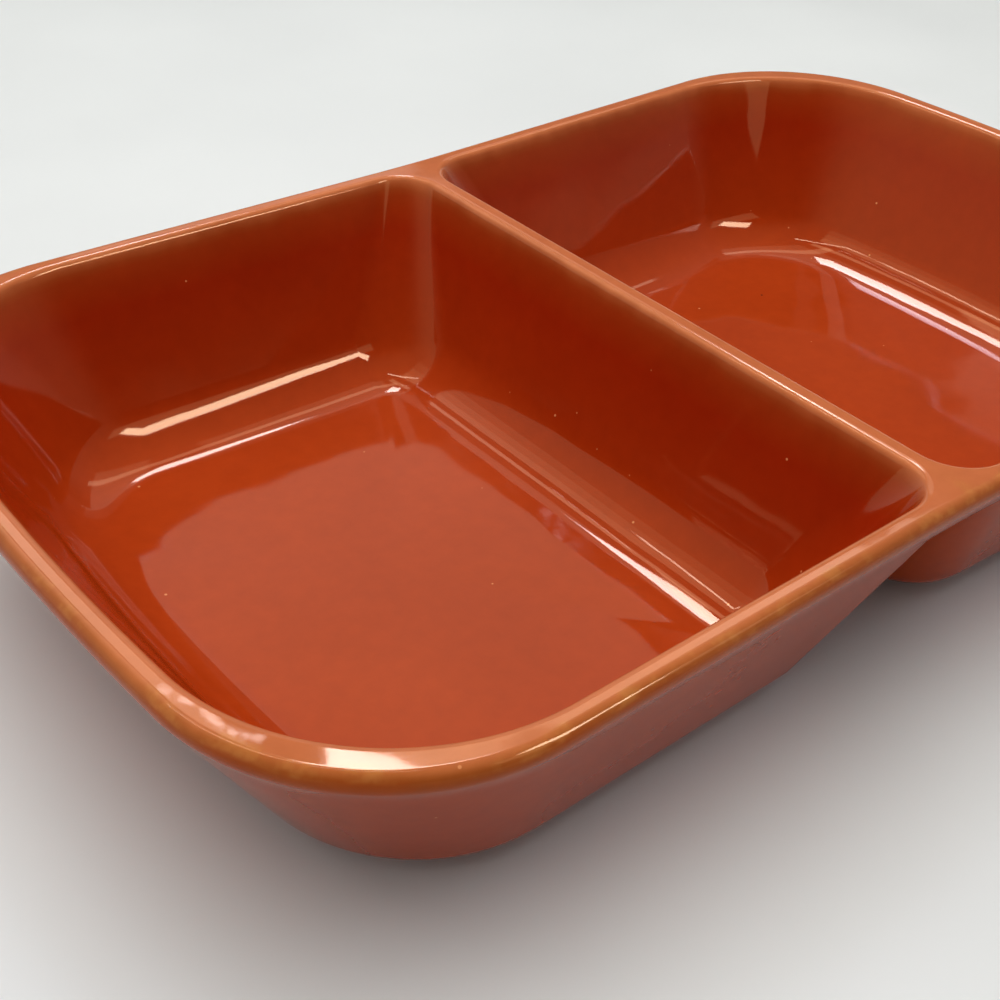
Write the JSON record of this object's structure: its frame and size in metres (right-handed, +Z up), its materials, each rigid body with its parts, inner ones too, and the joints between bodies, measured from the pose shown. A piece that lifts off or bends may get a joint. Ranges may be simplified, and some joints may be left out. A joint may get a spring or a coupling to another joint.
{
  "type": "divided serving bowl",
  "caption": "Low oblong serving bowl in glossy orange-brown glazed earthenware, with flared walls, rounded corners, a smooth lip and a cast divider between side-by-side wells.",
  "frame": {"origin": "middle of the resting plane, under the middle of the divider", "axes": "+X along the length, +Y along the divider, +Z up out of the wells"},
  "size_m": [0.2964, 0.1844, 0.0495],
  "materials": {
    "clay_body": "matte buff earthenware under the glaze",
    "bare_foot": "matte, unglazed, wiped clean",
    "inside_glaze": "high gloss orange-brown glaze",
    "outside_glaze": "high gloss orange-brown glaze",
    "lip_glaze": "high gloss glaze, thinner and lighter on the edges"
  },
  "bodies": {
    "root": {"left_well": "clay_body", "right_well": "clay_body", "rim": "clay_body", "divider": "clay_body", "left_foot_ring": "bare_foot", "right_foot_ring": "bare_foot", "left_well_glaze": "inside_glaze", "right_well_glaze": "inside_glaze", "left_outer_glaze": "outside_glaze", "right_outer_glaze": "outside_glaze", "left_base_glaze": "outside_glaze", "right_base_glaze": "outside_glaze", "rim_glaze": "lip_glaze", "divider_glaze": "lip_glaze"}
  },
  "joints": []
}
